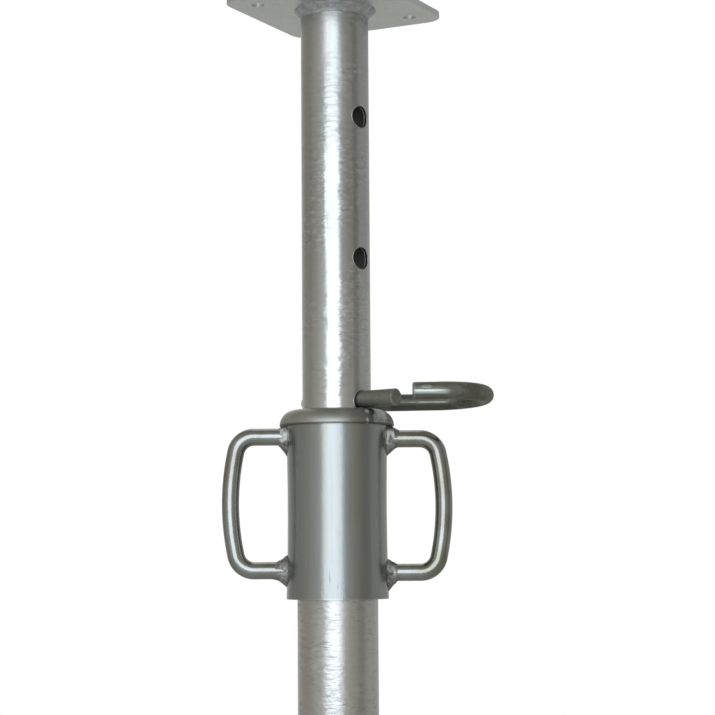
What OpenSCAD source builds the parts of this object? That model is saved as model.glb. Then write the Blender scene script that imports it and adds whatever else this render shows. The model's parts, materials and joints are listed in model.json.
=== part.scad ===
// Adjustable steel prop with a covered thread.
// An outer tube stands on a base plate. A sleeve with two D handles screws along the thread at
// its mouth and lifts a domed cap. A bent pin through the inner tube sits on the cap, so the
// head plate goes up and down in steps with the pin and finely with the thread.
// The origin is the centre of the base plate's underside, and +Z points up the prop.

/* [Tubes] */
// Outside diameter of the inner tube
inner_d = 48; // [40:0.5:60]
// Wall of the inner tube
inner_wall = 2.3; // [1.8:0.1:4]
// Length of the inner tube below the head plate
inner_len = 950; // [760:10:1100]
// Height of the flare at the foot of the inner tube
flare_h = 12; // [6:1:30]
// Room between the inner tube and the bore of the outer tube, on each side
tube_play = 1.7; // [1.2:0.1:3]
// Wall of the outer tube
outer_wall = 2.3; // [1.8:0.1:4]
// Length of the outer tube, from the base plate to its mouth
outer_len = 900; // [700:10:1500]
// Height of the lip at the outer tube's mouth that is rolled inwards round the inner tube
mouth_lip = 3; // [2:0.5:6]

/* [Pin holes] */
// How much wider the cross holes are than the pin
hole_play = 3.4; // [1.5:0.1:5]
// Distance from one cross hole to the next
hole_pitch = 100; // [60:5:120]
// Number of cross holes
hole_count = 7; // [3:1:8]
// Distance from the head plate down to the first cross hole
first_hole = 80; // [40:5:110]
// Which cross hole the pin is in, counted from the top
pinned_hole = 3; // [1:1:7]
// Direction of the cross holes round the prop, in degrees clockwise from +X
hole_angle = 41.5; // [30:0.5:60]

/* [Plates] */
// Side of the square base and head plates
plate_side = 120; // [100:1:150]
// Thickness of the plates
plate_t = 4; // [3:0.5:8]
// Radius of the plates' corners
plate_corner = 15; // [5:1:20]
// Distance between neighbouring bolt holes of the head plate
head_bolt_pitch = 80; // [70:1:90]
// Distance between neighbouring bolt holes of the base plate
base_bolt_pitch = 84; // [70:1:90]
// Diameter of the bolt holes
bolt_hole_d = 9; // [6:0.5:13]
// Diameter of the vent hole in the middle of each plate
vent_d = 16; // [10:1:24]
// How far the head plate is turned round the prop, in degrees
head_turn = 62.4; // [0:0.2:90]

/* [Thread] */
// Rise of the thread for one turn
thread_lead = 8; // [7:0.5:10]
// Height of the thread above the outer tube
thread_depth = 1.5; // [1.2:0.1:2.5]
// How much a ridge narrows on each side for each millimetre of its height
flank_lean = 0.5; // [0.2:0.05:0.7]
// Play between the threads of the tube and the nut
thread_play = 0.5; // [0.4:0.05:0.8]

/* [Sleeve] */
// Wall of the nut inside the sleeve's foot
nut_wall = 2; // [2:0.1:4]
// Height of the nut
nut_h = 28; // [20:1:50]
// How far the nut sits above the sleeve's lower edge
nut_inset = 3; // [2.5:0.5:10]
// Wall of the sleeve at its ends
sleeve_wall = 3.5; // [3:0.1:6]
// How much thinner the sleeve's wall is at its middle
sleeve_waist = 1; // [0.2:0.1:1.5]
// Length of the sleeve
sleeve_len = 122.5; // [115:0.5:200]

/* [Cap] */
// How far the cap's lower edge stands out from the sleeve
cap_overhang = 4.5; // [3:0.1:8]
// Height of the cap
cap_h = 11.2; // [10:0.1:18]
// Radius of the cap's domed shoulder
cap_dome = 11.2; // [10:0.1:14]
// Depth of the recess that takes the sleeve's upper end
cap_recess = 3; // [1.5:0.5:5]
// Direction of the cap's welded seam, in degrees clockwise from +X
seam_angle = 50.5; // [20:0.5:80]
// Width of the bead along the seam
seam_w = 3; // [2:0.5:5]

/* [Handles] */
// Thickness of the round bar that the handles are bent from
handle_bar_d = 12; // [8:0.5:16]
// Distance from the sleeve to the middle of a grip's bar
grip_out = 38.8; // [32:0.2:60]
// How much less a handle spans, from leg to leg, than the sleeve is long
handle_short = 29.8; // [25:0.1:50]
// Radius of the handle's corners, at the middle of the bar
handle_corner = 13; // [9:0.2:16]
// Half of the angle through which a grip bows outwards
grip_bow = 12; // [4:1:16]
// Gap between the cap and the left handle
left_handle_drop = 1.3; // [0.5:0.1:4]
// Gap between the cap and the right handle
right_handle_drop = 3.1; // [0.5:0.1:4]

/* [Pin] */
// Thickness of the round bar that the pin is bent from
pin_d = 12; // [8:0.5:16]
// How far the pin's tip stands out from the inner tube
pin_reach = 30.6; // [20:0.2:36]
// How far inside the inner tube's surface the pin's first bend begins
bend_inset = 3.8; // [0:0.2:4]
// Room between the inner tube and the pin's loop, on each side
loop_gap = 4; // [3:0.5:12]
// Distance from the inner tube to the middle of the loop's round end
loop_out = 46; // [42:0.5:60]
// Length of the straight end of the loop
loop_end = 18; // [4:0.5:20]
// How far the whole loop stands up from level, in degrees about the bar
loop_lift = 1.2; // [0:0.1:4]
// How far the round end tips up from the rest of the loop, in degrees
loop_tip = 3.5; // [0:0.5:6]

/* [Welds] */
// Width and height of the weld between a tube and its plate
plate_weld = 6; // [2:0.5:8]
// How far a handle's weld spreads round the bar
handle_weld_w = 5.5; // [2:0.5:7]
// How far a handle's weld creeps along the bar
handle_weld_l = 7.5; // [3:0.5:10]
// Size of the weld below the nut
nut_weld_w = 2; // [1:0.5:2]

/* [Clearances] */
// Gap between pieces that move past each other
gap = 0.3; // [0.25:0.05:0.4]
// Gap round the inner tube in the cap and in the outer tube's mouth
guide_gap = 0.4; // [0.3:0.05:0.6]
// Length of the small bevels on cut ends
bevel = 0.8; // [0.4:0.1:1.2]

/* [Hidden] */
$fn = 96;

// How far a cutting shape runs past what it cuts
over = 1;

// Heights of the main levels
hole_d = pin_d + hole_play;
mouth_z = plate_t + outer_len;
cap_z = mouth_z + gap - cap_recess;
cap_top = cap_z + cap_h;
sleeve_top = cap_z + cap_recess - gap;
sleeve_z = sleeve_top - sleeve_len;
nut_z = sleeve_z + nut_inset;
pin_z = cap_top + gap + pin_d / 2;
pinned_z = pin_z + pin_d / 2 + gap - hole_d / 2;
head_z = pinned_z + (pinned_hole - 1) * hole_pitch + first_hole;
inner_z = head_z - inner_len;

// Radii of the fitted faces, from the inner tube outwards
inner_r = inner_d / 2;
inner_bore = inner_r - inner_wall;
guide_r = inner_r + guide_gap;
outer_bore = inner_r + tube_play;
outer_r = outer_bore + outer_wall;
flare_r = outer_bore - gap;
crest_r = outer_r + thread_depth;
nut_crest = outer_r + thread_play;
nut_bore = crest_r + thread_play;
sleeve_bore = nut_bore + nut_wall;
sleeve_r = sleeve_bore + sleeve_wall;
cap_r = sleeve_r + cap_overhang;

// A thread is a ridge swept in short steps, which fades out at both ends. Its foot is sunk into
// the wall that carries it, and it has the stated width halfway up the depth of engagement.
turn_steps = 24;
fade_steps = 8;
ridge_sink = 0.6;
ridge_w = thread_lead / 2 - thread_play;
ridge_mid = (crest_r + nut_crest) / 2;

// The sleeve's outline is drawn through this many points
waist_points = 9;

// Angle round the prop that the cap's seam takes up
seam_turn = seam_w / cap_r * 180 / PI;

// A bend is a hair thicker than the rods that run into it, and laps a little way over them
bend_swell = 0.1;
bend_lap = 0.3;

// A handle's grip is an arc that turns through twice the bow, and each corner does the rest
handle_span = sleeve_len - handle_short;
corner_turn = 90 - grip_bow;
grip_r = (handle_span - 2 * handle_corner * (1 - cos(corner_turn))) / (2 * sin(grip_bow));
leg_len = sleeve_wall + grip_out
    - handle_corner * sin(corner_turn) - grip_r * (1 - cos(grip_bow));

// The pin's straight bar and the rod behind the tube lie on lines that meet behind the tube, and
// the first bend leads from one to the other
pin_turn = 180 - hole_angle;
pin_front = inner_r + pin_reach;
pin_back = inner_r - bend_inset;
loop_r = inner_r + loop_gap + pin_d / 2;
bend_start = loop_r / sin(hole_angle) - pin_back;
pin_bend_r = bend_start / tan(pin_turn / 2);
loop_rod = inner_r + loop_out + loop_r / tan(hole_angle) - bend_start;

// Colours of the finishes
zinc = [0.68, 0.69, 0.68];
sleeve_zinc = [0.50, 0.54, 0.54];
cap_steel = [0.42, 0.42, 0.40];
pin_steel = [0.42, 0.41, 0.37];
weld_steel = [0.60, 0.60, 0.58];

// ---- Shapes shared by several pieces ----

// A ring between two radii
module ring(outside, inside, height) {
    difference() {
        cylinder(r = outside, h = height);
        translate([0, 0, -over]) cylinder(r = inside, h = height + 2 * over);
    }
}

// A fillet weld round a tube: it stands on a plate and leans against the tube
module weld_ring(tube_r, size) {
    rotate_extrude()
        polygon([[tube_r, 0], [tube_r + size, 0], [tube_r, size]]);
}

// Lays a copy of the children at each corner of a square
module at_corners(pitch) {
    for (x = [-1, 1])
        for (y = [-1, 1])
            translate([x * pitch / 2, y * pitch / 2, 0]) children();
}

// A square plate with round corners, bolt holes and a vent
module plate(bolt_pitch) {
    difference() {
        linear_extrude(plate_t) {
            square([plate_side, plate_side - 2 * plate_corner], center = true);
            square([plate_side - 2 * plate_corner, plate_side], center = true);
            at_corners(plate_side - 2 * plate_corner) circle(r = plate_corner);
        }
        translate([0, 0, -over]) {
            at_corners(bolt_pitch) cylinder(d = bolt_hole_d, h = plate_t + 2 * over);
            cylinder(d = vent_d, h = plate_t + 2 * over);
        }
    }
}

// A straight length of round bar along +X
module rod(bar_d, length) {
    rotate([0, 90, 0]) cylinder(d = bar_d, h = length);
}

// A length of round bar along +X whose far end is bevelled
module rod_end(bar_d, length) {
    rod(bar_d, length - bevel);
    translate([length - bevel, 0, 0]) rotate([0, 90, 0])
        cylinder(d1 = bar_d, d2 = bar_d - 2 * bevel, h = bevel);
}

// A length of round bar that leaves along +X and bows left round an arc
module bow(bar_d, radius, turn) {
    translate([0, radius, 0]) rotate([0, 0, -90])
        rotate_extrude(angle = turn) translate([radius, 0]) circle(d = bar_d);
}

// A tight bend of the same kind, which laps over the bar at both of its ends
module bend(bar_d, radius, turn) {
    lap_turn = bend_lap / radius * 180 / PI;
    translate([0, radius, 0]) rotate([0, 0, -lap_turn]) translate([0, -radius, 0])
        bow(bar_d + bend_swell, radius, turn + 2 * lap_turn);
}

// Places its children where such a bend ends
module after_bend(radius, turn) {
    translate([radius * sin(turn), radius * (1 - cos(turn)), 0]) rotate([0, 0, turn]) children();
}

// Half of a ridge's width at a radius: a ridge on the tube narrows outwards, one in the nut inwards
function half_width(r, outwards) = ridge_w / 2 - (outwards ? 1 : -1) * (r - ridge_mid) * flank_lean;

// The four corners of a ridge's section at an angle round the prop
function ridge_section(foot_r, top_r, outwards, angle, z) =
    [for (corner = [[foot_r, -1], [top_r, -1], [top_r, 1], [foot_r, 1]])
        let (r = corner[0])
        [r * cos(angle), r * sin(angle), z + corner[1] * half_width(r, outwards)]];

// A helical ridge of one start that climbs the given height
module thread_ridge(foot_r, top_r, climb) {
    outwards = top_r > foot_r;
    steps = floor(climb / thread_lead * turn_steps);
    points = [for (i = [0:steps])
        let (rise = min(1, (i + 1) / fade_steps, (steps - i + 1) / fade_steps))
        each ridge_section(foot_r, foot_r + rise * (top_r - foot_r), outwards,
            i * 360 / turn_steps, i * thread_lead / turn_steps)];
    sides = [for (i = [0:steps - 1]) for (k = [0:3])
        let (a = 4 * i + k, b = 4 * i + (k + 1) % 4)
        each [[a, b, a + 4], [b, b + 4, a + 4]]];
    ends = [[2, 1, 0], [3, 2, 0], [4 * steps, 4 * steps + 1, 4 * steps + 2],
        [4 * steps, 4 * steps + 2, 4 * steps + 3]];
    faces = concat(sides, ends);
    polyhedron(points, outwards ? [for (f = faces) [f[2], f[1], f[0]]] : faces);
}

// ---- Outer tube and base ----

module base_plate() {
    color(zinc) plate(base_bolt_pitch);
}

module base_weld() {
    color(weld_steel) translate([0, 0, plate_t]) weld_ring(outer_r, plate_weld);
}

// The lip at the tube's mouth keeps the inner tube's flare inside
module outer_tube() {
    color(zinc) {
        translate([0, 0, plate_t]) ring(outer_r, outer_bore, outer_len);
        translate([0, 0, mouth_z - mouth_lip]) ring(outer_bore, guide_r, mouth_lip);
    }
}

module outer_thread() {
    color(zinc) translate([0, 0, nut_z])
        thread_ridge(outer_r - ridge_sink, crest_r, mouth_z - nut_z - thread_lead / 2);
}

// ---- Cap ----

// Half of the domed ring's section, grown outwards by a margin
module cap_section(margin) {
    translate([guide_r, 0]) square([cap_r - cap_dome - guide_r, cap_h + margin]);
    intersection() {
        translate([cap_r - cap_dome, cap_h - cap_dome]) circle(r = cap_dome + margin);
        translate([cap_r - cap_dome, 0]) square([cap_dome + margin, cap_h + margin]);
    }
}

module cap() {
    color(cap_steel) translate([0, 0, cap_z])
        difference() {
            rotate_extrude() cap_section(0);
            translate([0, 0, -over]) cylinder(r = sleeve_r + gap, h = cap_recess + over);
        }
}

// The bead where the cap's rolled ring is closed
module cap_seam_weld() {
    color(weld_steel) translate([0, 0, cap_z])
        rotate([0, 0, -seam_angle - seam_turn / 2])
        rotate_extrude(angle = seam_turn)
        intersection() {
            difference() {
                cap_section(bevel);
                cap_section(0);
            }
            translate([cap_r - cap_dome / 2, bevel]) square([cap_dome, cap_h]);
        }
}

// ---- Sleeve, nut and handles ----

// The sleeve's outside, which is slightly narrower halfway up
module sleeve_form() {
    outline = [for (i = [0:waist_points - 1])
        let (t = i / (waist_points - 1))
        [sleeve_r - sleeve_waist * 4 * t * (1 - t), t * sleeve_len]];
    translate([0, 0, sleeve_z])
        rotate_extrude() polygon(concat([[0, 0]], outline, [[0, sleeve_len]]));
}

module sleeve() {
    color(sleeve_zinc) difference() {
        sleeve_form();
        translate([0, 0, sleeve_z - over]) cylinder(r = sleeve_bore, h = sleeve_len + 2 * over);
    }
}

module sleeve_nut() {
    color(sleeve_zinc) translate([0, 0, nut_z]) ring(sleeve_bore, nut_bore, nut_h);
}

// The nut's thread runs halfway between the turns of the tube's thread
module nut_thread() {
    color(sleeve_zinc) translate([0, 0, nut_z + thread_lead / 2])
        thread_ridge(nut_bore + ridge_sink, nut_crest, nut_h - thread_lead);
}

module nut_weld() {
    color(weld_steel) translate([0, 0, nut_z]) mirror([0, 0, 1]) rotate_extrude()
        polygon([[sleeve_bore, 0], [sleeve_bore - nut_weld_w, 0], [sleeve_bore, nut_weld_w]]);
}

// The bent bar of a handle in the XZ plane, with its lower leg on the X axis
module handle_bar() {
    translate([sleeve_bore, 0, 0]) rotate([90, 0, 0]) {
        rod(handle_bar_d, leg_len);
        translate([leg_len, 0, 0]) {
            bend(handle_bar_d, handle_corner, corner_turn);
            after_bend(handle_corner, corner_turn) {
                bow(handle_bar_d, grip_r, 2 * grip_bow);
                after_bend(grip_r, 2 * grip_bow) {
                    bend(handle_bar_d, handle_corner, corner_turn);
                    after_bend(handle_corner, corner_turn) rod(handle_bar_d, leg_len);
                }
            }
        }
    }
}

// Height of the middle of a handle's upper leg
function upper_leg_z(drop) = cap_z - drop - handle_bar_d / 2;

module handle(drop) {
    color(zinc) difference() {
        translate([0, 0, upper_leg_z(drop) - handle_span]) handle_bar();
        sleeve_form();
    }
}

// The weld round one leg of a handle, kept clear of the cap
module leg_weld(leg_z) {
    start_r = handle_bar_d / 2 + handle_weld_w;
    color(weld_steel) difference() {
        translate([sleeve_r - sleeve_waist, 0, leg_z]) rotate([0, 90, 0])
            cylinder(r1 = start_r, r2 = handle_bar_d / 2, h = handle_weld_l + sleeve_waist);
        translate([sleeve_bore, 0, leg_z]) rod(handle_bar_d, handle_weld_l * 3);
        sleeve_form();
        translate([0, 0, cap_z - gap]) cylinder(r = cap_r * 2, h = cap_h * 2);
    }
}

module right_handle() {
    handle(right_handle_drop);
}

module left_handle() {
    mirror([1, 0, 0]) handle(left_handle_drop);
}

module right_upper_weld() {
    leg_weld(upper_leg_z(right_handle_drop));
}

module right_lower_weld() {
    leg_weld(upper_leg_z(right_handle_drop) - handle_span);
}

module left_upper_weld() {
    mirror([1, 0, 0]) leg_weld(upper_leg_z(left_handle_drop));
}

module left_lower_weld() {
    mirror([1, 0, 0]) leg_weld(upper_leg_z(left_handle_drop) - handle_span);
}

// ---- Inner tube and head ----

module inner_tube() {
    color(zinc) difference() {
        union() {
            translate([0, 0, inner_z]) cylinder(r = inner_r, h = inner_len);
            translate([0, 0, inner_z]) cylinder(r = flare_r, h = flare_h);
            translate([0, 0, inner_z + flare_h])
                cylinder(r1 = flare_r, r2 = inner_r, h = flare_r - inner_r);
        }
        translate([0, 0, inner_z - over]) cylinder(r = inner_bore, h = inner_len + 2 * over);
        for (k = [0:hole_count - 1])
            translate([0, 0, head_z - first_hole - k * hole_pitch])
                rotate([0, 0, -hole_angle]) rotate([0, 90, 0])
                cylinder(d = hole_d, h = inner_d + 2 * over, center = true);
    }
}

module head_plate() {
    color(zinc) translate([0, 0, head_z]) rotate([0, 0, head_turn]) plate(head_bolt_pitch);
}

module head_weld() {
    color(weld_steel) translate([0, 0, head_z]) mirror([0, 0, 1]) weld_ring(inner_r, plate_weld);
}

// ---- Pin ----

// The pin is drawn from its tip: straight bar, tight bend, rod behind the tube, round end
module g_pin() {
    bar_len = pin_front + pin_back;
    color(pin_steel) translate([0, 0, pin_z]) rotate([loop_lift, 0, -hole_angle])
        translate([-pin_back, 0, 0]) {
            rod_end(pin_d, bar_len);
            rotate([0, 0, 180]) mirror([0, 1, 0]) {
                bend(pin_d, pin_bend_r, pin_turn);
                after_bend(pin_bend_r, pin_turn) {
                    rod(pin_d, loop_rod);
                    translate([loop_rod, 0, 0]) rotate([loop_tip, 0, 0]) {
                        bend(pin_d, loop_r, 180);
                        after_bend(loop_r, 180) rod_end(pin_d, loop_end);
                    }
                }
            }
        }
}

base_plate();
base_weld();
outer_tube();
outer_thread();
cap();
cap_seam_weld();
sleeve();
sleeve_nut();
nut_thread();
nut_weld();
left_handle();
right_handle();
left_upper_weld();
left_lower_weld();
right_upper_weld();
right_lower_weld();
inner_tube();
head_plate();
head_weld();
g_pin();
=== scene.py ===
"""Looks of an adjustable steel prop: galvanised tubes, greenish sleeve, rough welds, olive pin."""

import json
import math

import bmesh
import bpy
from mathutils import Matrix, Vector, noise


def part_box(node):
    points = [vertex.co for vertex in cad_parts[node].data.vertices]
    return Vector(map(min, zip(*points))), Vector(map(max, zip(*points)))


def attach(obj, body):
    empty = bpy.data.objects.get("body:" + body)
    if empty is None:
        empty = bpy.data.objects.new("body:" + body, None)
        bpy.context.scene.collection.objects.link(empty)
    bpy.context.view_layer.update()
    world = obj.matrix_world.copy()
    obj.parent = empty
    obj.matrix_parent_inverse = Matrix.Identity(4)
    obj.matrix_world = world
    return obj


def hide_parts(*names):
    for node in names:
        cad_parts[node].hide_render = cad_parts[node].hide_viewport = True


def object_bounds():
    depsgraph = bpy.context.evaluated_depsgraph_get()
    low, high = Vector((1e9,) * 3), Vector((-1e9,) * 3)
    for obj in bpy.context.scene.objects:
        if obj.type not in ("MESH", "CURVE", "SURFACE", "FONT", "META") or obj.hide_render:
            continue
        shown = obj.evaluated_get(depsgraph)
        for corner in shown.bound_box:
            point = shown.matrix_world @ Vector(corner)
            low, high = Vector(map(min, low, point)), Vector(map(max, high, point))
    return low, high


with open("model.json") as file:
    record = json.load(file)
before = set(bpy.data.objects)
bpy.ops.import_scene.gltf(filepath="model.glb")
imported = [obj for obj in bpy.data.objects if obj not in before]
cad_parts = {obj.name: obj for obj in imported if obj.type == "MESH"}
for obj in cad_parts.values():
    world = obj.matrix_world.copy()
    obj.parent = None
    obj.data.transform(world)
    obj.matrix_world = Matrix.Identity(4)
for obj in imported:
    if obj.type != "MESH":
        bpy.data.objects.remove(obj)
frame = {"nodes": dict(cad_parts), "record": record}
cad_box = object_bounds()

MM = 0.001

# ---- Places read from the frame ----

cap_low, cap_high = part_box("cap")
sleeve_low, sleeve_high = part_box("sleeve")
left_low, left_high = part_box("left_handle")
right_low, right_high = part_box("right_handle")
pin_low, pin_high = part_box("g_pin")
head_weld_low, head_weld_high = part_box("head_weld")
head_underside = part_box("head_plate")[0].z
base_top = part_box("base_plate")[1].z
outer_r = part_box("outer_tube")[1].x
cap_z = cap_low.z
cap_r = cap_high.x
cap_tall = cap_high.z - cap_z
sleeve_r = sleeve_high.x
sleeve_middle = (sleeve_low.z + sleeve_high.z) / 2
sleeve_half = (sleeve_high.z - sleeve_low.z) / 2
plate_weld_size = head_weld_high.z - head_weld_low.z
inner_r = head_weld_high.x - plate_weld_size
bar_r = (left_high.y - left_low.y) / 2
leg_z = {
    ("left", "lower"): left_low.z + bar_r,
    ("left", "upper"): left_high.z - bar_r,
    ("right", "lower"): right_low.z + bar_r,
    ("right", "upper"): right_high.z - bar_r,
}
lower_leg_z = (leg_z["left", "lower"] + leg_z["right", "lower"]) / 2
upper_leg_z = (leg_z["left", "upper"] + leg_z["right", "upper"]) / 2

# ---- Sizes that no node's box gives ----

TUBE_WALL = 2.3 * MM
HOLE_R = 7.7 * MM
HOLE_PITCH = 100 * MM
HOLE_COUNT = 7
FIRST_HOLE = 80 * MM

# The cap's closing line: its bearing, the height from which it leans, its lean in radians a metre
SEAM_BEARING = math.radians(52.3)
SEAM_BEND = 5.5 * MM
SEAM_LEAN = 29.0

# The pin's bar: its bearing, its length from the prop's middle, and the largest X it reaches
PIN_BEARING = math.radians(41.5)
PIN_BAR_END = inner_r + 30.6 * MM
PIN_BAR_REACH = 47 * MM
# The pin's loop: the Y past which a branch lies, the near one's cut end, the heights of both
PIN_BRANCH = 26 * MM
PIN_LOOP_END = 52 * MM
PIN_NEAR_Z = pin_high.z - 6.1 * MM
PIN_FAR_Z = pin_low.z + 7.55 * MM

# ---- Camera ----

VIEW_DISTANCE = 1.41165
VIEW_BELOW_CAP = 0.0875
VIEW_PITCH = math.radians(5.49)
VIEW_YAW = math.radians(0.60)
VIEW_ROLL = math.radians(0.39)
FOCAL_LENGTH = 101.84
SENSOR_WIDTH = 36

lens = bpy.data.cameras.new("camera")
lens.sensor_width = SENSOR_WIDTH
lens.lens = FOCAL_LENGTH
camera = bpy.data.objects.new("camera", lens)
bpy.context.scene.collection.objects.link(camera)
camera.matrix_world = (
    Matrix.Translation((0, -VIEW_DISTANCE, cap_z - VIEW_BELOW_CAP))
    @ Matrix.Rotation(-VIEW_YAW, 4, "Z")
    @ Matrix.Rotation(math.pi / 2 + VIEW_PITCH, 4, "X")
    @ Matrix.Rotation(-VIEW_ROLL, 4, "Z")
)
bpy.context.scene.camera = camera


# ---- Shader maths ----


def rgb(red, green, blue):
    """An opaque colour."""
    return (red, green, blue, 1.0)


class Value:
    """A shader socket on which Python's own arithmetic adds Math nodes."""

    def __init__(self, nodes, socket):
        self.nodes = nodes
        self.socket = socket

    def __add__(self, other):
        return self.nodes.maths("ADD", self, other)

    def __sub__(self, other):
        return self.nodes.maths("SUBTRACT", self, other)

    def __rsub__(self, other):
        return self.nodes.maths("SUBTRACT", other, self)

    def __mul__(self, other):
        return self.nodes.maths("MULTIPLY", self, other)

    def __pow__(self, other):
        return self.nodes.maths("POWER", self, other)

    def __rpow__(self, other):
        return self.nodes.maths("POWER", other, self)

    def __neg__(self):
        return 0 - self

    def at_least(self, other):
        """The larger of this and another value."""
        return self.nodes.maths("MAXIMUM", self, other)

    def size(self):
        """This value without its sign."""
        return self.nodes.maths("ABSOLUTE", self)

    __radd__ = __add__
    __rmul__ = __mul__


class Nodes:
    """A shader tree and the few ways in which this script fills it."""

    def __init__(self, tree):
        self.tree = tree

    def node(self, kind, settings=None, sockets=None):
        """Adds a node: its settings or a ramp's stops, then the values or links of its sockets."""
        made = self.tree.nodes.new(kind)
        for name, setting in (settings or {}).items():
            if name == "stops":
                self.set_stops(made.color_ramp.elements, setting)
            else:
                setattr(made, name, setting)
        for name, value in (sockets or {}).items():
            self.feed(made.inputs[name], value)
        return made

    def set_stops(self, elements, stops):
        """Gives a ramp its stops, each a place from 0 to 1 and a grey level."""
        while len(elements) < len(stops):
            elements.new(0.5)
        for element, (place, level) in zip(elements, stops):
            element.position = place
            element.color = rgb(level, level, level)

    def feed(self, socket, value):
        """Links a socket or Value to a socket, or sets a plain number or colour on it."""
        if isinstance(value, Value):
            value = value.socket
        if isinstance(value, bpy.types.NodeSocket):
            self.tree.links.new(value, socket)
        else:
            socket.default_value = value

    def maths(self, operation, first, second=0.0):
        """One Math node on one or two values."""
        made = self.node("ShaderNodeMath", {"operation": operation}, {0: first, 1: second})
        return Value(self, made.outputs[0])

    def parts(self, vector):
        """The X, Y and Z of a vector as three Values."""
        made = self.node("ShaderNodeSeparateXYZ", None, {"Vector": vector})
        return [Value(self, output) for output in made.outputs]

    def ramp(self, value, low, high):
        """Maps low to 0 and high to 1, softly, and clips the rest."""
        settings = {"interpolation_type": "SMOOTHSTEP"}
        sockets = {"Value": value, "From Min": low, "From Max": high}
        return Value(self, self.node("ShaderNodeMapRange", settings, sockets).outputs["Result"])

    def fade(self, value, low, high):
        """Maps low to 1 and high to 0, softly, and clips the rest."""
        return 1 - self.ramp(value, low, high)

    def near(self, value, place, inner, outer):
        """1 up to the inner distance from a place, 0 from the outer one on."""
        return self.fade((value - place).size(), inner, outer)

    def blend(self, share, first, second):
        """A colour between two colours."""
        settings = {"data_type": "RGBA", "clamp_factor": True}
        return self.node("ShaderNodeMix", settings, {0: share, 6: first, 7: second}).outputs[2]

    def coated(self, colour, *coats):
        """A colour under coats of (share, colour), laid on one after the other."""
        for share, coat in coats:
            colour = self.blend(share, colour, coat)
        return colour


class Finish(Nodes):
    """One material: a metal whose colour, roughness and relief vary over the piece."""

    def __init__(self, name, metallic=1.0):
        self.material = bpy.data.materials.new(name)
        self.material.use_nodes = True
        super().__init__(self.material.node_tree)
        self.surface = self.tree.nodes["Principled BSDF"]
        self.surface.inputs["Metallic"].default_value = metallic
        self.place = self.node("ShaderNodeTexCoord").outputs["Object"]
        self.x, self.y, self.z = self.parts(self.place)

    def cloud(self, scale, detail=3.0, rough=0.5):
        """Smooth noise from 0 to 1 over the piece, with one or three scales in cycles per metre."""
        scale = scale if isinstance(scale, tuple) else (scale, scale, scale)
        mapping = self.node("ShaderNodeMapping", None, {"Vector": self.place, "Scale": scale})
        place = mapping.outputs[0]
        sockets = {"Vector": place, "Scale": 1.0, "Detail": detail, "Roughness": rough}
        return Value(self, self.node("ShaderNodeTexNoise", None, sockets).outputs["Fac"])

    def colour(self, value):
        """Sets or links the base colour."""
        self.feed(self.surface.inputs["Base Color"], value)

    def roughness(self, value):
        """Sets or links the roughness."""
        self.feed(self.surface.inputs["Roughness"], value)

    def metal(self, value):
        """Sets or links how metallic the surface is."""
        self.feed(self.surface.inputs["Metallic"], value)

    def relief(self, height, depth):
        """A bump whose height runs from 0 to 1 over a depth in metres."""
        sockets = {"Height": height, "Distance": depth, "Strength": 1.0}
        bump = self.node("ShaderNodeBump", None, sockets)
        self.feed(self.surface.inputs["Normal"], bump.outputs[0])


# ---- Colours ----

TUBE_MARK = rgb(0.34, 0.35, 0.34)
TUBE_SCUFF = rgb(0.74, 0.76, 0.76)
LOWER_PAINTED_LIGHT = rgb(0.76, 0.77, 0.74)
BORE_SHADE = rgb(0.34, 0.35, 0.32)

PLATE_GREY = rgb(0.66, 0.675, 0.655)
PLATE_PALE = rgb(0.75, 0.765, 0.755)
PLATE_SPECK = rgb(0.36, 0.36, 0.35)

SLEEVE_OLIVE = rgb(0.37, 0.375, 0.345)
SLEEVE_GREY = rgb(0.39, 0.40, 0.385)
SLEEVE_BLUE = rgb(0.42, 0.46, 0.465)
SLEEVE_EDGE = rgb(0.56, 0.57, 0.56)
SLEEVE_NICK = rgb(0.20, 0.205, 0.20)

CAP_BROWN = rgb(0.44, 0.42, 0.385)
CAP_TAN = rgb(0.53, 0.52, 0.48)
CAP_GREEN = rgb(0.42, 0.445, 0.405)
CAP_SHADE = rgb(0.23, 0.225, 0.215)
CAP_CROWN_HIGHLIGHT = rgb(0.62, 0.61, 0.58)
CAP_FOOT_SHADE = rgb(0.13, 0.125, 0.115)
RING_GREY = rgb(0.54, 0.57, 0.56)
RING_PALE = rgb(0.68, 0.71, 0.71)
RING_TOP_SHADE = rgb(0.20, 0.205, 0.195)
RING_SPECK = rgb(0.14, 0.15, 0.145)
RING_EDGE = rgb(0.10, 0.11, 0.10)
SEAM_DARK = rgb(0.06, 0.085, 0.065)

HANDLE_OLIVE = rgb(0.31, 0.31, 0.25)
HANDLE_BROWN = rgb(0.33, 0.31, 0.28)
HANDLE_GREY = rgb(0.40, 0.405, 0.39)
HANDLE_SPECK = rgb(0.22, 0.22, 0.21)

PIN_DARK_OLIVE = rgb(0.225, 0.225, 0.185)
PIN_OLIVE = rgb(0.30, 0.30, 0.26)
PIN_BROWN = rgb(0.22, 0.19, 0.165)
PIN_FAR_SHADE = rgb(0.10, 0.105, 0.09)
PIN_BAR_OLIVE = rgb(0.33, 0.325, 0.28)
PIN_STREAK = rgb(0.13, 0.14, 0.125)
PIN_FLECK = rgb(0.50, 0.52, 0.47)
PIN_CUT = rgb(0.56, 0.56, 0.53)
PIN_HIGHLIGHT = rgb(0.60, 0.65, 0.61)

LEG_WELD_DARK = rgb(0.16, 0.155, 0.14)
LEG_WELD_GREY = rgb(0.34, 0.335, 0.31)
LEG_WELD_HIGHLIGHT = rgb(0.96, 0.955, 0.90)
NUGGET_GREY = rgb(0.30, 0.305, 0.29)
NUGGET_PALE = rgb(0.44, 0.45, 0.43)
THREAD_GREASE = rgb(0.20, 0.19, 0.16)
THREAD_STEEL = rgb(0.44, 0.44, 0.42)

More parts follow.
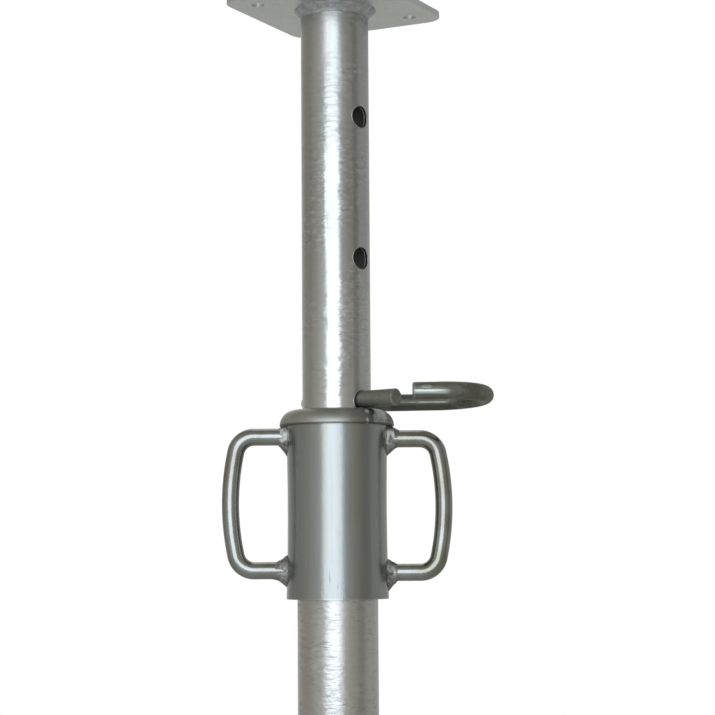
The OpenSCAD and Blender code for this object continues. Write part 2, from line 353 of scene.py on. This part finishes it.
WHITE = rgb(1, 1, 1)
COOL_LIGHT = rgb(0.97, 1.0, 1.0)
WARM_LIGHT = rgb(1.0, 0.96, 0.86)
GROUND = rgb(0.80, 0.80, 0.79)


# ---- Finishes ----


def tube_finish(name, bore_r, olive, mauve, bluish, smooth, rubbed_z=None):
    """
    Galvanised tube: soft bands along it in slightly different greys, marks across it, fine grain.
    Where rubbed_z gives a height, the front is rubbed there, with painted light below that makes
    the tube lighter towards the bottom, and duller zinc above.
    """
    f = Finish(name)
    bands = f.cloud((130, 130, 2.5), detail=5, rough=0.62)
    tints = f.cloud((75, 75, 9))
    patches = f.cloud((40, 40, 26))
    across = f.cloud((70, 70, 560))
    teeth = f.cloud((160, 160, 480), detail=1)
    mottle = f.cloud((150, 150, 420), detail=2, rough=0.6)
    dents = f.cloud(170)
    grain = f.cloud(1500, detail=2)
    worn = f.ramp(patches, 0.42, 0.60)
    lower_light_share = 0
    if rubbed_z is not None:
        rubbed = f.near(f.x, -12 * MM, 4 * MM, 8 * MM) * f.fade(f.y, -12 * MM, -6 * MM)
        worn = worn.at_least(rubbed * f.near(f.z, rubbed_z, 26 * MM, 44 * MM))
        # Painted light: the colour grows lighter from the rubbed place downwards
        lower_light_share = 0.36 * f.fade(f.z, rubbed_z - 140 * MM, rubbed_z)
        smooth = smooth + 0.075 * f.ramp(f.z, rubbed_z + 10 * MM, rubbed_z + 110 * MM)
    marks = f.ramp(across, 0.54, 0.70) * worn
    scuffs = f.ramp(f.cloud((90, 90, 700), detail=2), 0.60, 0.72) * worn
    spotted = 0.25 + 0.75 * worn
    light_spots = f.ramp(mottle, 0.50, 0.68) * spotted
    dark_spots = f.fade(mottle, 0.32, 0.48) * spotted
    # Inside the bore: a rough non-metal, painted dark grey as painted shade in the tube
    inside = f.fade(f.x ** 2 + f.y ** 2, (bore_r + 0.4 * MM) ** 2, (bore_r + 0.8 * MM) ** 2)
    warm = f.blend(f.ramp(tints, 0.36, 0.64), olive, mauve)
    f.colour(f.coated(
        f.blend(f.ramp(bands, 0.30, 0.72), warm, bluish),
        ((0.36 * marks).at_least(0.45 * dark_spots), TUBE_MARK),
        ((0.45 * scuffs).at_least(0.5 * light_spots), TUBE_SCUFF),
        (lower_light_share, LOWER_PAINTED_LIGHT),
        (inside, BORE_SHADE),
    ))
    f.metal(1 - inside)
    f.roughness(smooth + 0.07 * patches + 0.10 * marks + 0.06 * light_spots + 0.3 * inside)
    coarse = 0.2 * bands + 0.5 * dents + (0.5 + 2.2 * worn) * teeth
    f.relief(coarse + 0.6 * across * worn + 0.15 * grain, 0.10 * MM)
    return f.material


def plate_finish():
    """Galvanised plate: flat grey zinc with soft clouds and a few dark specks."""
    f = Finish("galvanised_plate")
    clouds = f.cloud(35, detail=5)
    specks = f.ramp(f.cloud(420, detail=2), 0.62, 0.74)
    grain = f.cloud(900, detail=2)
    zinc = f.blend(f.ramp(clouds, 0.3, 0.7), PLATE_GREY, PLATE_PALE)
    f.colour(f.blend(0.35 * specks, zinc, PLATE_SPECK))
    f.roughness(0.42 + 0.14 * clouds)
    f.relief(0.6 * clouds + 0.4 * grain, 0.10 * MM)
    return f.material


def sleeve_finish():
    """The sleeve's greenish zinc: bands along it, soft clouds, small nicks and pale worn rims."""
    f = Finish("greenish_sleeve_zinc")
    bands = f.cloud((95, 95, 1.5), detail=5, rough=0.6)
    tints = f.cloud((60, 60, 14))
    clouds = f.cloud(26, detail=5)
    nicks = f.ramp(f.cloud((420, 420, 60), detail=1), 0.68, 0.78) * f.ramp(clouds, 0.54, 0.62)
    dents = f.cloud(240)
    grain = f.cloud(1300, detail=2)
    rims = f.ramp((f.z - sleeve_middle).size(), sleeve_half - 1.25 * MM, sleeve_half - 0.05 * MM)
    green = f.blend(f.ramp(tints, 0.42, 0.60), SLEEVE_OLIVE, SLEEVE_GREY)
    f.colour(f.coated(
        f.blend(f.ramp(bands, 0.35, 0.68), green, SLEEVE_BLUE),
        (0.5 * rims, SLEEVE_EDGE),
        (0.30 * nicks, SLEEVE_NICK),
    ))
    f.roughness(0.215 + 0.09 * clouds + 0.10 * nicks)
    f.relief(0.3 * bands + 0.45 * dents + 0.25 * grain, 0.08 * MM)
    return f.material


def cap_finish():
    """The cap's dull brownish zinc, the dark closing line of its ring and pale zinc beside that."""
    f = Finish("dull_cap_zinc")
    clouds = f.cloud(60, detail=5)
    patches = f.cloud(150, detail=4, rough=0.6)
    specks = f.ramp(f.cloud(500, detail=2), 0.60, 0.70)
    grain = f.cloud(1000, detail=2)
    # The closing line, and the way round the rim from it to the left
    seam = SEAM_BEARING - (f.z - cap_z - SEAM_BEND).at_least(0) * SEAM_LEAN
    across = (f.maths("ARCTAN2", -f.y, f.x) - seam) * cap_r
    wander = (f.cloud((0, 0, 260)) - 0.5) * (1.8 * MM)
    width = (1.4 * MM) * f.cloud((90, 90, 330), detail=2)
    off = (across + wander).size()
    darker_up = 0.35 + 0.5 * f.ramp(f.z, cap_z + 4 * MM, cap_z + 8 * MM)
    gap = f.fade(off - width, -0.2 * MM, 1.0 * MM) * darker_up
    left = -across
    # The ring's pale zinc, and the darker places of the cap
    beside = f.ramp(left, 1.2 * MM, 2.4 * MM) * f.fade(left, 16 * MM, 21 * MM)
    edge_specks = f.ramp(left, 15 * MM, 17 * MM) * f.ramp(patches, 0.40, 0.52)
    shade = f.ramp(f.x, 2 * MM, 16 * MM) * f.fade(left, 0.0, 2 * MM)
    middle = f.near(f.x, -4 * MM, 4 * MM, 14 * MM)
    # Painted shade along the cap's foot, under its rim
    foot_shade = f.fade(f.z, cap_z + 0.5 * MM, cap_z + 1.4 * MM)
    # A painted highlight along the cap's top rim
    crown_highlight = f.ramp(f.z, cap_high.z - 1.2 * MM, cap_high.z - 0.4 * MM)
    # The ring's zinc, with painted shade on its upper part
    ring = f.coated(
        f.blend(f.ramp(patches, 0.40, 0.60), RING_GREY, RING_PALE),
        (0.6 * f.ramp(f.z, cap_z + 7.5 * MM, cap_z + 10.5 * MM), RING_TOP_SHADE),
        (0.6 * specks, RING_SPECK),
    )
    f.colour(f.coated(
        f.blend(f.ramp(clouds, 0.35, 0.65), CAP_BROWN, CAP_TAN),
        (0.6 * middle, CAP_GREEN),
        (0.72 * shade, CAP_SHADE),
        (0.5 * crown_highlight, CAP_CROWN_HIGHLIGHT),
        (beside, ring),
        (0.6 * edge_specks, RING_EDGE),
        (0.85 * foot_shade, CAP_FOOT_SHADE),
        (gap, SEAM_DARK),
    ))
    f.roughness(0.36 + 0.14 * clouds + 0.25 * gap)
    f.relief(0.3 * clouds + 0.25 * grain + 0.8 * patches * beside - 0.7 * gap, 0.22 * MM)
    return f.material


def handle_finish():
    """Galvanised round bar, smooth with small dents and olive, brown and grey clouds."""
    f = Finish("galvanised_bar")
    clouds = f.cloud(45, detail=4)
    tints = f.cloud(32)
    dents = f.cloud(230)
    specks = f.ramp(f.cloud(420, detail=1), 0.72, 0.80)
    grain = f.cloud(1200, detail=2)
    warm = f.blend(f.ramp(tints, 0.40, 0.60), HANDLE_OLIVE, HANDLE_BROWN)
    bar = f.blend(f.ramp(clouds, 0.38, 0.64), warm, HANDLE_GREY)
    f.colour(f.blend(0.35 * specks, bar, HANDLE_SPECK))
    f.roughness(0.14 + 0.12 * clouds)
    f.relief(0.7 * dents + 0.3 * grain, 0.08 * MM)
    return f.material


def pin_finish():
    """The pin's dull olive zinc: drawn streaks, painted highlight lines along the loop on smoother
    zinc, painted shade on the far branch, pale cut ends.
    """
    f = Finish("olive_pin_zinc")
    clouds = f.cloud(90, detail=4)
    tints = f.cloud(50)
    streaks = f.cloud((60, 520, 520), detail=4, rough=0.6)
    grain = f.cloud(900, detail=2)
    flecks = f.ramp(f.cloud(420, detail=2), 0.66, 0.74)
    ragged = (f.cloud((120, 700, 700)) - 0.5) * (2.2 * MM)
    # The bar, its end face, the two branches of the loop and the cut end of the near one
    bar = f.fade(f.x, PIN_BAR_REACH, PIN_BAR_REACH + 1 * MM)
    near = f.ramp(-f.y, PIN_BRANCH, PIN_BRANCH + 1 * MM)
    far = f.ramp(f.y, PIN_BRANCH, PIN_BRANCH + 1 * MM) * f.ramp(f.x, 36 * MM, 40 * MM)
    along_bar = f.x * math.cos(PIN_BEARING) - f.y * math.sin(PIN_BEARING)
    bar_end = f.ramp(along_bar, PIN_BAR_END - 1.2 * MM, PIN_BAR_END - 0.4 * MM) * bar
    loop_end = f.fade(f.x + ragged, PIN_LOOP_END + 0.2 * MM, PIN_LOOP_END + 2.4 * MM) * near
    cut = loop_end * f.ramp(f.x, 44.5 * MM, 45 * MM)
    # Painted highlights, where the zinc is also smoother: a line and a spot on the near branch, a
    # thin line on the far
    level = f.z - PIN_NEAR_Z + ragged * 0.3
    line = f.near(level, -1.2 * MM, 0.8 * MM, 1.9 * MM)
    bright = line * near * f.ramp(f.x, 51 * MM, 54 * MM) * f.fade(f.x, 73.5 * MM, 79 * MM)
    spot_along = (f.x - 61.2 * MM) * 0.30
    spot_up = f.z - PIN_NEAR_Z - 2.3 * MM
    spot = f.fade(spot_along ** 2 + spot_up ** 2, 0.8 * MM * MM, 2.0 * MM * MM)
    thin = f.fade((f.z - PIN_FAR_Z + 0.4 * MM + ragged * 0.25).size(), 0.2 * MM, 0.9 * MM)
    far_line = 0.5 * thin * far * f.ramp(streaks, 0.38, 0.52)
    # The painted highlights, on zinc that is also worn smoother and less metallic
    worn = bright.at_least(0.6 * spot * near).at_least(far_line)
    f.colour(f.coated(
        f.blend(f.ramp(clouds, 0.3, 0.7), PIN_DARK_OLIVE, PIN_OLIVE),
        (0.7 * f.ramp(tints, 0.46, 0.62), PIN_BROWN),
        # Painted shade on the far branch, all but its thin painted highlight
        (0.55 * far * (1 - thin), PIN_FAR_SHADE),
        (bar * f.fade(f.y, 0.0, 2 * MM), PIN_BAR_OLIVE),
        ((0.65 - 0.35 * bar) * f.ramp(streaks, 0.45, 0.70), PIN_STREAK),
        ((0.35 * flecks).at_least(0.45 * bar_end * f.ramp(clouds, 0.5, 0.6)), PIN_FLECK),
        (0.8 * cut * f.ramp(ragged, -0.6 * MM, 0.2 * MM), PIN_CUT),
        (worn, PIN_HIGHLIGHT),
    ))
    f.metal(1 - 0.35 * worn)
    f.roughness(0.50 + 0.10 * clouds - 0.29 * worn + 0.25 * bar_end)
    f.relief(0.4 * clouds + 0.4 * streaks + 0.2 * grain + 1.2 * cut * streaks, 0.12 * MM)
    return f.material


def weld_finish(name, dark, light, smooth, depth=0.45 * MM, metallic=1.0):
    """Weld metal under zinc: soft lumps with darker hollows and silvery runs."""
    f = Finish(name, metallic)
    lumps = f.cloud(210)
    spots = f.cloud(560, detail=2)
    runs = f.ramp(f.cloud((420, 420, 130), detail=2), 0.54, 0.66)
    grain = f.cloud(1300, detail=2)
    base = f.blend(f.ramp(0.75 * lumps + 0.25 * spots, 0.40, 0.62), dark, light)
    f.colour(f.blend(0.35 * runs, base, light))
    f.roughness(smooth + 0.16 * grain)
    f.relief(0.7 * lumps + 0.22 * spots + 0.08 * grain, depth)
    return f.material


def leg_weld_finish():
    """The welds of the handles: dark grey fillets with pale, dull painted highlights on them."""
    f = Finish("handle_weld")
    lumps = f.cloud(190)
    spots = f.cloud(520, detail=2)
    streaks = f.cloud((380, 380, 150), detail=2)
    fine = f.ramp(f.cloud((900, 900, 420)), 0.36, 0.60)
    grain = f.cloud(1300, detail=2)
    # Bands by the distance from the sleeve's wall, with ragged edges, and the places of the legs
    away = f.x.size() - sleeve_r + (lumps - 0.5) * (6 * MM) + (spots - 0.5) * (3 * MM)
    band = f.ramp(away, -3.0 * MM, -1.8 * MM) * f.fade(away, 3.6 * MM, 5.2 * MM)
    outer_band = f.ramp(away, 0.6 * MM, 1.6 * MM) * f.fade(away, 4.0 * MM, 5.6 * MM)
    low = f.near(f.z, lower_leg_z, 2.0 * MM, 5.2 * MM)
    high = f.near(f.z, upper_leg_z, 3.0 * MM, 6.0 * MM)
    left = f.fade(f.x, -20 * MM, -10 * MM)
    ragged_z = f.z + (lumps - 0.5) * (8 * MM)
    crest = f.ramp(ragged_z, upper_leg_z - 3.0 * MM, upper_leg_z - 1.0 * MM) * left
    # Painted highlights: on the upper left crest, the upper right leg, and a little on the lower
    # legs
    mixed = 0.7 * streaks + 0.3 * spots
    crest_share = band * crest * (0.45 + 0.55 * f.ramp(mixed, 0.42, 0.54))
    high_share = band * high * (1 - left) * f.ramp(mixed, 0.46, 0.54)
    low_share = (0.8 - 0.3 * left) * outer_band * low * f.ramp(mixed, 0.54, 0.61)
    weld_highlight = crest_share.at_least(high_share.at_least(low_share))
    dark = f.blend(f.ramp(0.7 * lumps + 0.3 * spots, 0.38, 0.60), LEG_WELD_DARK, LEG_WELD_GREY)
    f.colour(f.blend(0.95 * weld_highlight * (0.55 + 0.45 * fine), dark, LEG_WELD_HIGHLIGHT))
    f.metal(0.60 - 0.45 * weld_highlight)
    f.roughness(0.38 + 0.16 * grain + 0.14 * weld_highlight)
    f.relief(0.7 * lumps + 0.22 * spots + 0.08 * grain, 0.50 * MM)
    return f.material


def nugget_finish():
    """Dull pale zinc on the small closing welds of the cap."""
    f = Finish("pale_nugget", metallic=0.35)
    spots = f.cloud(700, detail=2)
    f.colour(f.blend(f.ramp(spots, 0.40, 0.60), NUGGET_GREY, NUGGET_PALE))
    f.roughness(0.46 + 0.2 * spots)
    f.relief(spots, 0.20 * MM)
    return f.material


def thread_finish():
    """Greased thread steel."""
    f = Finish("greased_thread")
    film = f.cloud(120)
    f.colour(f.blend(f.ramp(film, 0.35, 0.65), THREAD_GREASE, THREAD_STEEL))
    f.roughness(0.22 + 0.25 * film)
    f.relief(film, 0.05 * MM)
    return f.material


outer_tube_finish = tube_finish(
    "galvanised_outer_tube",
    bore_r=outer_r - TUBE_WALL,
    olive=rgb(0.61, 0.60, 0.555),
    mauve=rgb(0.64, 0.61, 0.585),
    bluish=rgb(0.67, 0.665, 0.65),
    smooth=0.27,
)
inner_tube_finish = tube_finish(
    "galvanised_inner_tube",
    bore_r=inner_r - TUBE_WALL,
    olive=rgb(0.50, 0.495, 0.45),
    mauve=rgb(0.525, 0.50, 0.49),
    bluish=rgb(0.555, 0.575, 0.575),
    smooth=0.205,
    rubbed_z=head_underside - 140 * MM,
)
FINISHES = {
    "tube_zinc": inner_tube_finish,
    "plate_zinc": plate_finish(),
    "sleeve_zinc": sleeve_finish(),
    "cap_steel": cap_finish(),
    "handle_zinc": handle_finish(),
    "pin_steel": pin_finish(),
    "weld_steel": weld_finish(
        "zinc_covered_weld", dark=rgb(0.24, 0.235, 0.225), light=rgb(0.66, 0.68, 0.67), smooth=0.24,
    ),
    "thread_steel": thread_finish(),
}
plate_weld_look = weld_finish(
    "dull_plate_weld", dark=rgb(0.42, 0.415, 0.41), light=rgb(0.57, 0.575, 0.58), smooth=0.42,
    depth=0.12 * MM, metallic=0.55,
)
leg_weld_look = leg_weld_finish()
nugget_look = nugget_finish()
hole_edge_look = weld_finish(
    "bright_hole_edge", dark=rgb(0.42, 0.42, 0.40), light=rgb(0.66, 0.66, 0.65), smooth=0.30,
)

for part in frame["record"]["subparts"]:
    node = frame["nodes"][part["node"]]
    node.data.materials.clear()
    node.data.materials.append(FINISHES[part["material_slot"]])
frame["nodes"]["outer_tube"].data.materials[0] = outer_tube_finish


# ---- Pieces ----

# A face larger than this is flat, and is shaded so
FLAT_FACE = 30 * MM * MM


def add_piece(name, shape, body, slot, finish, *stands_for):
    """Turns a bmesh into a finished piece that rides on a body, in place of some CAD nodes."""
    bmesh.ops.recalc_face_normals(shape, faces=shape.faces)
    mesh = bpy.data.meshes.new(name)
    shape.to_mesh(mesh)
    shape.free()
    mesh.shade_smooth()
    for face in mesh.polygons:
        face.use_smooth = face.area < FLAT_FACE
    mesh.materials.append(finish)
    made = bpy.data.objects.new(name, mesh)
    bpy.context.scene.collection.objects.link(made)
    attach(made, body)
    if stands_for:
        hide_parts(*stands_for)


def spun(outline, steps, axis):
    """A closed outline, turned once round the X or the Z axis. Points are (along, out)."""
    shape = bmesh.new()
    if axis == "Z":
        corners = [shape.verts.new((out, 0, along)) for along, out in outline]
    else:
        corners = [shape.verts.new((along, 0, out)) for along, out in outline]
    for i, corner in enumerate(corners):
        shape.edges.new((corner, corners[(i + 1) % len(corners)]))
    bmesh.ops.spin(
        shape, geom=shape.verts[:] + shape.edges[:], cent=(0, 0, 0),
        axis=(0, 0, 1) if axis == "Z" else (1, 0, 0),
        angle=2 * math.pi, steps=steps, use_merge=True, use_duplicate=False,
    )
    return shape


def wobble(point, size, seed):
    """Smooth noise from -1 to 1 at a point, with lumps of the given size."""
    return noise.noise(point / size + Vector((seed, 2 * seed, -seed)))


def held(value, low, high):
    """A number kept between two others."""
    return min(high, max(low, value))


# A plate's weld: how deep it bites into tube and plate, the power and places of its slope, its
# lumps, how far its toes are sunk and how far it stands off the tube at least
PLATE_WELD_STEPS = 240
PLATE_WELD_BITE = 0.6 * MM
PLATE_WELD_SLOPE = 1.9
PLATE_WELD_PLACES = (0, 0.12, 0.25, 0.4, 0.55, 0.7, 0.85, 1)
PLATE_WELD_LUMP = 0.40 * MM
PLATE_TOE_SUNK = 0.25 * MM
PLATE_TOE_LEAST = 0.02 * MM


def plate_weld(name, tube_r, plate_z, sign, seed, body, node):
    """A hand-laid fillet between a tube and its plate, lumpy, with a wavy toe on both."""
    size = plate_weld_size
    slope = [(size * t, size * (1 - t) ** PLATE_WELD_SLOPE) for t in PLATE_WELD_PLACES]
    outline = [(0, -PLATE_WELD_BITE)] + slope + [(size, -PLATE_WELD_BITE)]
    outline = [(plate_z + sign * along, tube_r + out) for along, out in outline]
    shape = spun(outline, PLATE_WELD_STEPS, "Z")
    for v in shape.verts:
        out = math.hypot(v.co.x, v.co.y) - tube_r
        off = sign * (v.co.z - plate_z)
        if out < 0:
            continue
        outward = Vector((v.co.x, v.co.y, 0)).normalized()
        ring = outward * tube_r
        wave = wobble(ring, 10 * MM, seed) * 0.9 + wobble(ring, 4.5 * MM, seed) * 0.5
        grow = 0.84 + 0.28 * wave
        between = math.sin(math.pi * held(out / size, 0, 1))
        lump = wobble(v.co, 3.0 * MM, seed) * PLATE_WELD_LUMP * between
        new_out = max(PLATE_TOE_LEAST, min(out * grow + lump, size))
        new_off = max(0, off * (0.15 + grow) + lump)
        v.co = outward * (tube_r + new_out)
        v.co.z = plate_z + sign * (new_off - PLATE_TOE_SUNK * (1 - between) * min(1, out / size))
    add_piece(name, shape, body, "weld_steel", plate_weld_look, node)


plate_weld("head_weld_bead", inner_r, head_underside, -1, 3.1, "inner", "head_weld")
plate_weld("base_weld_bead", outer_r, base_top, 1, 7.7, "outer", "base_weld")

# A leg's weld: how deep it bites into the bar and the sleeve, the share that its toe loses at the
# bar's sides, how far its toes are sunk and how far it stays below the cap
LEG_WELD_STEPS = 96
LEG_WELD_PLACES = 16
LEG_WELD_BITE = 0.8 * MM
LEG_WELD_ROOT = 3 * MM
LEG_WELD_SIDE_LOSS = 0.92
LEG_WELD_TOE_SUNK = 0.1 * MM
LEG_WELD_BELOW_CAP = 0.4 * MM


def leg_weld(side, level, above, below, over, under, hollow, seed):
    """
    A fillet round one leg of a handle, on the sleeve and under the cap. On its upper and lower side
    its toe is above and below high on the sleeve, and it runs over and under far along the bar. In
    its outline t is 0 at the sleeve and 1 at the far toe; -2, -1 and 2 close it inside both.
    """
    core = bar_r - LEG_WELD_BITE
    places = [i / LEG_WELD_PLACES for i in range(-1, LEG_WELD_PLACES + 1)]
    outline = [(-2, core), (-1, bar_r)] + [(t, bar_r) for t in places] + [(2, core)]
    shape = spun(outline, LEG_WELD_STEPS, "X")
    for v in shape.verts:
        t = v.co.x
        out = math.hypot(v.co.y, v.co.z)
        share = 0.5 + 0.5 * v.co.z / out
        spot = Vector((4 * MM * t, v.co.y, v.co.z))
        beside = (v.co.y / out) ** 2
        toe = (below + (above - below) * share) * (1 - LEG_WELD_SIDE_LOSS * beside)
        toe *= 1 + 0.16 * wobble(spot, 5 * MM, seed)
        reach = (under + (over - under) * share) * (1 + 0.14 * wobble(spot, 4 * MM, seed + 9))
        along = t * reach
        slope = 1 + (hollow - 1) * (1 - share)
        rise = toe * (1 - held(t, -0.1, 1)) ** slope - LEG_WELD_TOE_SUNK * max(0, t)
        if t <= -1:
            along = -LEG_WELD_ROOT
        elif t <= 1:
            lumps = 0.65 * wobble(spot, 3.4 * MM, seed) + 0.30 * wobble(spot, 1.5 * MM, seed)
            rise = max(-LEG_WELD_TOE_SUNK, rise + lumps * MM * min(1, 3 * (1 - t)))
        else:
            along = reach
        new_out = core if abs(t) == 2 else bar_r + rise
        v.co.y *= new_out / out
        v.co.z *= new_out / out
        wall_drop = sleeve_r - math.sqrt(sleeve_r ** 2 - v.co.y ** 2)
        v.co.x = sleeve_r + along - wall_drop * (1 - held(t, 0, 1))
        v.co.z = min(v.co.z + leg_z[side, level], cap_z - LEG_WELD_BELOW_CAP)
    if side == "left":
        bmesh.ops.scale(shape, vec=(-1, 1, 1), verts=shape.verts)
    leg = f"{side}_{level}"
    add_piece(f"{leg}_bead", shape, "sleeve", "weld_steel", leg_weld_look, f"{leg}_weld")


# Side, level, toe above and below the bar and reach over and under it in mm, hollowness below, seed
LEG_WELDS = (
    ("left", "lower", 3.8, 5.2, 6.6, 11.5, 1.8, 2.3),
    ("left", "upper", 3.2, 7.2, 5.0, 5.2, 1.05, 5.3),
    ("right", "lower", 3.4, 6.2, 5.6, 6.4, 1.1, 5.9),
    ("right", "upper", 5.2, 5.6, 7.4, 7.6, 1.5, 8.9),
)
for side, level, above, below, over, under, hollow, seed in LEG_WELDS:
    leg_weld(side, level, above * MM, below * MM, over * MM, under * MM, hollow, seed)

SAME_POINT = 0.001 * MM
SAME_PLANE = math.radians(1)
SHARP_EDGE = math.radians(40)
PLATE_ROUNDING = 0.7 * MM


def soft_plate(name, node, body):
    """A copy of a plate's solid whose sharp edges are rounded over."""
    shape = bmesh.new()
    shape.from_mesh(frame["nodes"][node].data)
    bmesh.ops.remove_doubles(shape, verts=shape.verts, dist=SAME_POINT)
    bmesh.ops.dissolve_limit(shape, angle_limit=SAME_PLANE, verts=shape.verts, edges=shape.edges)
    sharp = [e for e in shape.edges if e.is_manifold and e.calc_face_angle() > SHARP_EDGE]
    bmesh.ops.bevel(
        shape, geom=sharp, offset=PLATE_ROUNDING, offset_type="OFFSET", affect="EDGES", segments=2,
        profile=0.5, material=-1, clamp_overlap=True,
    )
    add_piece(name, shape, body, "plate_zinc", FINISHES["plate_zinc"], node)


soft_plate("soft_head_plate", "head_plate", "inner")
soft_plate("soft_base_plate", "base_plate", "outer")

HOLE_EDGE_STEPS = 56
HOLE_EDGE_SIDES = 8
HOLE_EDGE_RISE = 0.28 * MM
HOLE_EDGE_WIDTH = 0.30 * MM
HOLE_EDGE_OFF = 0.22 * MM


def hole_edge(level, turn, seed, whole):
    """Adds to a bmesh the thin raised edge that the drill left round one cross hole of the tube."""
    angles = [i * math.tau / HOLE_EDGE_SIDES for i in range(HOLE_EDGE_SIDES)]
    out = HOLE_R + HOLE_EDGE_OFF
    outline = [(HOLE_EDGE_RISE * math.sin(a), out + HOLE_EDGE_WIDTH * math.cos(a)) for a in angles]
    shape = spun(outline, HOLE_EDGE_STEPS, "X")
    for v in shape.verts:
        thick = 1 + 0.35 * wobble(v.co + Vector((0, 0, level)), 3 * MM, seed)
        v.co.x = math.sqrt(inner_r ** 2 - v.co.y ** 2) + v.co.x * thick
    bmesh.ops.rotate(shape, cent=(0, 0, 0), matrix=Matrix.Rotation(turn, 3, "Z"), verts=shape.verts)
    bmesh.ops.translate(shape, vec=(0, 0, level), verts=shape.verts)
    one = bpy.data.meshes.new("hole_edge")
    shape.to_mesh(one)
    shape.free()
    whole.from_mesh(one)
    bpy.data.meshes.remove(one)


edges = bmesh.new()
for i in range(HOLE_COUNT):
    for turn in (-PIN_BEARING, math.pi - PIN_BEARING):
        hole_edge(head_underside - FIRST_HOLE - i * HOLE_PITCH, turn, i + turn, edges)
add_piece("cross_hole_edges", edges, "inner", "tube_zinc", hole_edge_look)

# Each nugget's way down the cap's side as a share of its height, bearing in degrees, radius in mm
NUGGETS = ((0.33, 55.2, 2.0), (0.82, 57.6, 2.1))
NUGGET_SUNK = 0.78


def seam_nuggets():
    """The weld nuggets beside the dark line where the cap's ring is closed, sunk into its dome."""
    shape = bmesh.new()
    for i, (drop, bearing, size) in enumerate(NUGGETS):
        out = cap_r - cap_tall + cap_tall * math.sqrt(1 - (1 - drop) ** 2)
        angle = math.radians(bearing)
        outward = Vector((math.cos(angle), -math.sin(angle), 0))
        place = outward * (out - NUGGET_SUNK * size * MM)
        place.z = cap_high.z - drop * cap_tall
        made = bmesh.ops.create_icosphere(shape, subdivisions=3, radius=size * MM)
        for v in made["verts"]:
            v.co = v.co * (1 + 0.25 * wobble(v.co, 1.1 * MM, i + 1.7))
            v.co.z *= 1.1
            v.co += place
    add_piece("cap_seam_nuggets", shape, "cap", "weld_steel", nugget_look, "cap_seam_weld")


seam_nuggets()


# ---- Light and ground ----

# Bearings are in degrees round the prop, with 0 on the viewer's side and 90 on the right
ROOM_AROUND = (
    (-180, 0.60), (-157, 0.50), (-138, 0.40), (-119, 0.33), (-96, 0.31), (-78, 0.40), (-61, 0.46),
    (-45, 0.56), (0, 0.56), (20, 0.44), (37, 0.41), (51, 0.34), (67, 0.22), (80, 0.22), (84, 0.38),
    (120, 0.38), (150, 0.44), (165, 0.55), (180, 0.60),
)
ROOM_WARMTH = (
    (-180, 0.5), (-140, 0.3), (-122, 0.8), (-95, 1.0), (-70, 0.5), (-40, 0.2), (15, 0.2), (28, 0.9),
    (60, 0.8), (82, 0.3), (120, 0.2), (180, 0.5),
)
ROOM_TOP = 0.28
BACKDROP_AROUND = ((-180, 1.0), (-157, 0.60), (-138, 0.0), (138, 0.0), (165, 0.55), (180, 1.0))

world = bpy.data.worlds.new("studio")
bpy.context.scene.world = world
world.use_nodes = True
world.node_tree.nodes.clear()
room = Nodes(world.node_tree)
room_x, room_y, room_z = room.parts(room.node("ShaderNodeTexCoord").outputs["Generated"])
round_room = room.maths("ARCTAN2", room_x, -room_y) * (1 / math.tau) + 0.5


def by_bearing(stops):
    """A level that follows (bearing, level) stops round the room."""
    stops = [(bearing / 360 + 0.5, level) for bearing, level in stops]
    made = room.node("ShaderNodeValToRGB", {"stops": stops}, {"Fac": round_room})
    return Value(room, made.outputs["Color"])


# The studio's own level, which the ceiling takes over higher up, and its cool or warm tint
rising = room.ramp(room_z, 0.45, 0.95)
studio = by_bearing(ROOM_AROUND) * (1 - rising) + rising * ROOM_TOP
mood = room.blend(by_bearing(ROOM_WARMTH), COOL_LIGHT, WARM_LIGHT)
# The white backdrop: all round for the camera, and behind the prop for what metal or glass shows
ray = room.node("ShaderNodeLightPath").outputs
mirrored = Value(room, ray["Is Glossy Ray"]).at_least(ray["Is Transmission Ray"])
white = (mirrored * by_bearing(BACKDROP_AROUND)).at_least(ray["Is Camera Ray"])
tint = room.blend(ray["Is Camera Ray"], mood, WHITE)
strength = studio.at_least(white)
surroundings = room.node("ShaderNodeBackground", None, {"Color": tint, "Strength": strength})
room.node("ShaderNodeOutputWorld", None, {"Surface": surroundings.outputs[0]})


def soft_panel(name, bearing, height, distance, width, tall, radiance, colour):
    """A soft light panel that faces the middle of the prop."""
    lamp = bpy.data.lights.new(name, "AREA")
    lamp.shape = "RECTANGLE"
    lamp.size = width
    lamp.size_y = tall
    lamp.energy = radiance * math.pi * width * tall
    lamp.color = colour
    made = bpy.data.objects.new(name, lamp)
    bpy.context.scene.collection.objects.link(made)
    angle = math.radians(bearing)
    place = Vector((math.sin(angle) * distance, -math.cos(angle) * distance, height))
    aim = (Vector((0, 0, cap_z)) - place).to_track_quat("-Z", "Y")
    made.matrix_world = Matrix.Translation(place) @ aim.to_matrix().to_4x4()


soft_panel(
    "window", bearing=-11, height=1.31, distance=2.6, width=2.1, tall=1.98, radiance=1.86,
    colour=(0.80, 0.885, 1.0),
)

FLOOR_RADIUS = 3.5
FLOOR_STEPS = 96
FLOOR_ROUGHNESS = 0.9
FLOOR_GAP = 0.2 * MM

floor_shape = bmesh.new()
bmesh.ops.create_circle(floor_shape, cap_ends=True, segments=FLOOR_STEPS, radius=FLOOR_RADIUS)
floor_mesh = bpy.data.meshes.new("floor")
floor_shape.to_mesh(floor_mesh)
floor_shape.free()
floor_paint = bpy.data.materials.new("floor_paint")
floor_paint.use_nodes = True
floor_surface = floor_paint.node_tree.nodes["Principled BSDF"]
floor_surface.inputs["Base Color"].default_value = GROUND
floor_surface.inputs["Roughness"].default_value = FLOOR_ROUGHNESS
floor_mesh.materials.append(floor_paint)
floor = bpy.data.objects.new("floor", floor_mesh)
bpy.context.scene.collection.objects.link(floor)
floor.location.z = cad_box[0].z - FLOOR_GAP

bpy.context.scene.view_settings.view_transform = "Standard"
